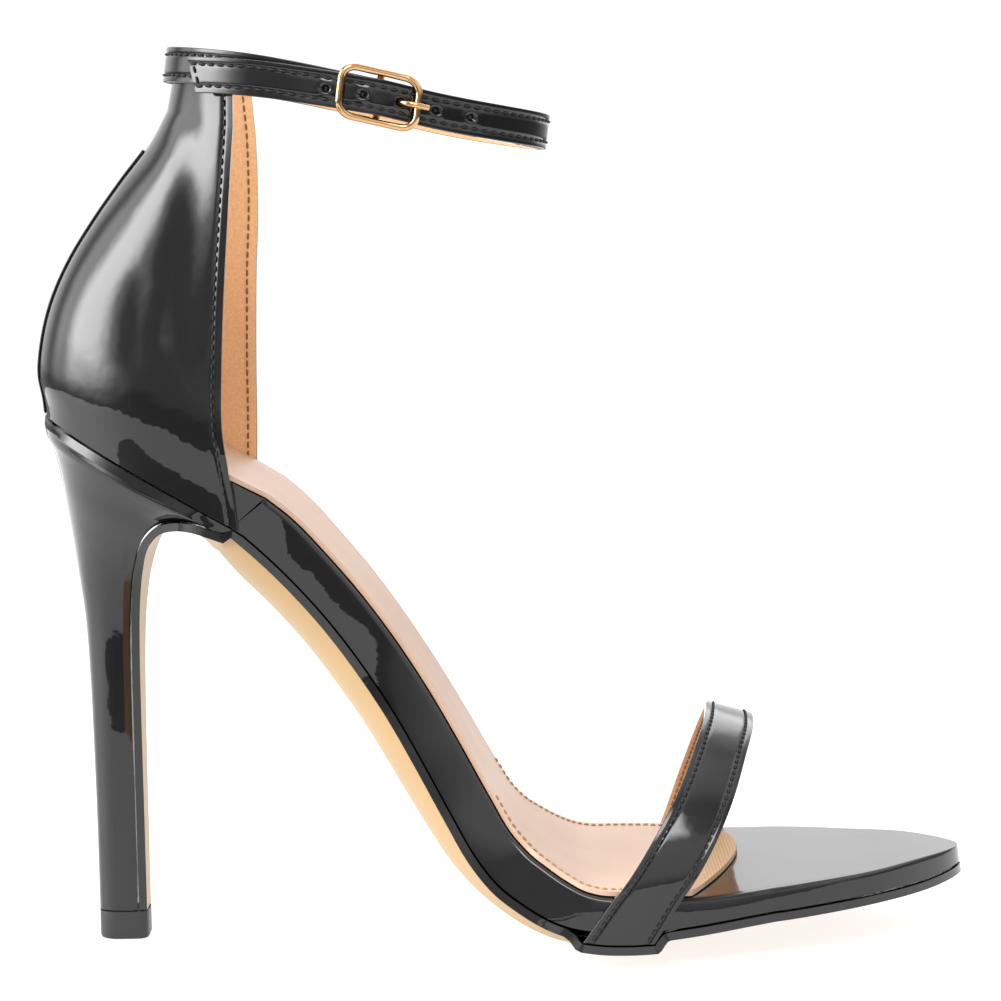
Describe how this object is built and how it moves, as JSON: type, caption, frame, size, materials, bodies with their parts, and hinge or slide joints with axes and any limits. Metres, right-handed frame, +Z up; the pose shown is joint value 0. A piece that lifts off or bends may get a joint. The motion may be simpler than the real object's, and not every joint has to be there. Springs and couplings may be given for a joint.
{
  "type": "heeled sandal",
  "caption": "Right ankle-strap sandal with a stiletto heel, a closed heel counter, a toe strap and a buckle.",
  "frame": {"origin": "middle of the heel tip's bottom face, on the floor", "axes": "+X forward to the toe, +Y to the inner side of the foot, +Z up"},
  "size_m": [0.2065, 0.0829, 0.1994],
  "materials": {
    "black_patent": "high gloss patent",
    "heel_patent": "high gloss patent",
    "strap_patent": "high gloss patent",
    "trim_patent": "high gloss patent",
    "tan_sole": "smooth satin",
    "beige_sock": "soft satin",
    "black_rubber": "satin",
    "gold_metal": "polished"
  },
  "bodies": {
    "root": {"heel_tip": "black_rubber", "heel": "heel_patent", "outsole": "tan_sole", "midsole": "black_patent", "insole": "beige_sock", "counter": "black_patent", "backstay": "trim_patent", "toe_strap": "strap_patent", "ankle_strap": "strap_patent", "buckle_frame": "gold_metal", "buckle_prong": "gold_metal"}
  },
  "joints": []
}
